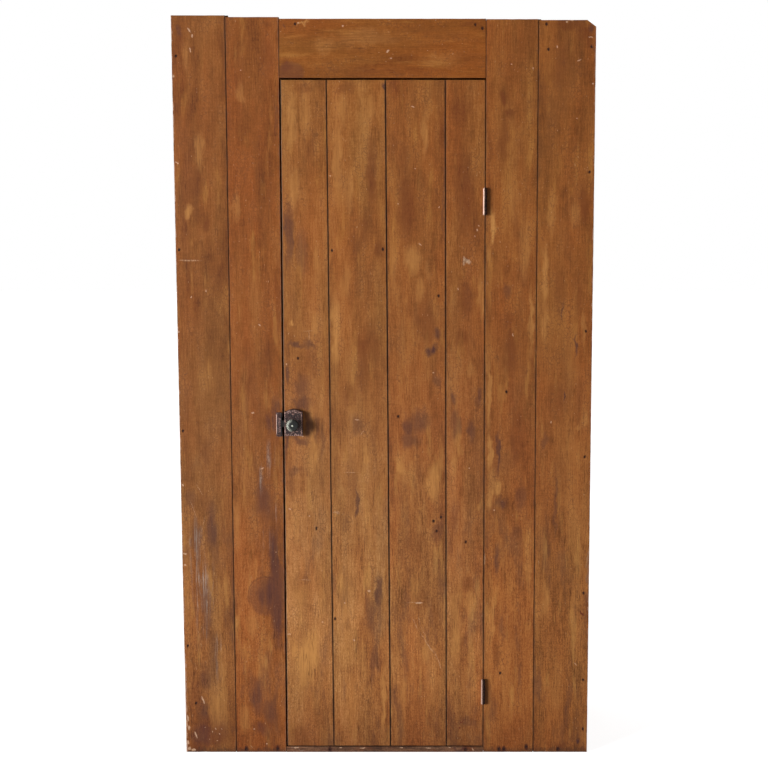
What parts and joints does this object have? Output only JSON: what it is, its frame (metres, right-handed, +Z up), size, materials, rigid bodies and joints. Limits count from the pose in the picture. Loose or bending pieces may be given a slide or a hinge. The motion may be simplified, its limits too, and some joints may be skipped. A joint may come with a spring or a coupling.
{
  "type": "jelly cupboard",
  "caption": "Tall pine storage cupboard with a flush boarded door on butt hinges, a surface rim latch with a round knob, and fixed shelves on cleats.",
  "frame": {"origin": "on the floor, in the middle of the footprint: the centre of the bottom board's underside", "axes": "+Z up, the door faces -Y, +X to the right of someone who faces the door"},
  "size_m": [1.034, 0.4513, 1.8623],
  "materials": {
    "face_wood": "worn reddish brown stain and varnish on pine",
    "door_wood": "worn golden brown stain and varnish on pine",
    "inside_wood": "bare aged pine",
    "cast_iron": "dark rusted cast iron",
    "worn_iron": "iron rubbed bright over rust",
    "knob_black": "glossy black-green glaze, worn"
  },
  "bodies": {
    "carcass": {"left_side_panel": "face_wood", "right_side_panel": "face_wood", "bottom_board": "inside_wood", "top_board": "inside_wood", "shelf_1": "inside_wood", "shelf_2": "inside_wood", "shelf_3": "inside_wood", "shelf_4": "inside_wood", "left_cleat_1": "inside_wood", "left_cleat_2": "inside_wood", "left_cleat_3": "inside_wood", "left_cleat_4": "inside_wood", "right_cleat_1": "inside_wood", "right_cleat_2": "inside_wood", "right_cleat_3": "inside_wood", "right_cleat_4": "inside_wood", "back_board_1": "inside_wood", "back_board_2": "inside_wood", "back_board_3": "inside_wood", "back_board_4": "inside_wood", "back_board_5": "inside_wood", "back_board_6": "inside_wood", "left_outer_board": "face_wood", "left_inner_board": "face_wood", "right_inner_board": "face_wood", "right_outer_board": "face_wood", "top_rail": "face_wood", "lower_hinge_frame_leaf": "worn_iron", "lower_hinge_pin": "worn_iron", "lower_hinge_frame_screw_lower": "cast_iron", "lower_hinge_frame_screw_upper": "cast_iron", "upper_hinge_frame_leaf": "worn_iron", "upper_hinge_pin": "worn_iron", "upper_hinge_frame_screw_lower": "cast_iron", "upper_hinge_frame_screw_upper": "cast_iron", "latch_keeper": "cast_iron", "keeper_screw_upper": "cast_iron", "keeper_screw_lower": "cast_iron"},
    "door": {"door_board_1": "door_wood", "door_board_2": "door_wood", "door_board_3": "door_wood", "door_board_4": "door_wood", "lower_door_ledge": "inside_wood", "upper_door_ledge": "inside_wood", "lower_hinge_door_leaf": "worn_iron", "lower_hinge_door_screw_lower": "cast_iron", "lower_hinge_door_screw_upper": "cast_iron", "upper_hinge_door_leaf": "worn_iron", "upper_hinge_door_screw_lower": "cast_iron", "upper_hinge_door_screw_upper": "cast_iron", "latch_case": "cast_iron", "latch_spring": "worn_iron", "case_screw_upper": "cast_iron", "case_screw_lower": "cast_iron"},
    "knob": {"knob": "knob_black", "latch_spindle": "worn_iron", "latch_follower": "worn_iron"},
    "bolt": {"latch_bolt": "worn_iron"}
  },
  "joints": [
    {"name": "door_swing", "type": "hinge", "parent": "carcass", "child": "door", "pos_m": [0.24806, -0.2086, 0.86], "axis": [0, 0, 1], "range_deg": [0, 175]},
    {"name": "knob_turn", "type": "hinge", "parent": "door", "child": "knob", "pos_m": [-0.22932, -0.203, 0.86], "axis": [0, 1, 0], "range_deg": [0, 45]},
    {"name": "bolt_slide", "type": "slide", "parent": "door", "child": "bolt", "axis": [1, 0, 0], "range_m": [0, 0.008], "stiffness_N_per_m": 200, "springref_m": -0.006, "deforming": ["latch_spring"]}
  ],
  "couplings": [
    {"joint": "knob_turn", "follows": "bolt_slide", "rad_per_m": 98.17}
  ]
}
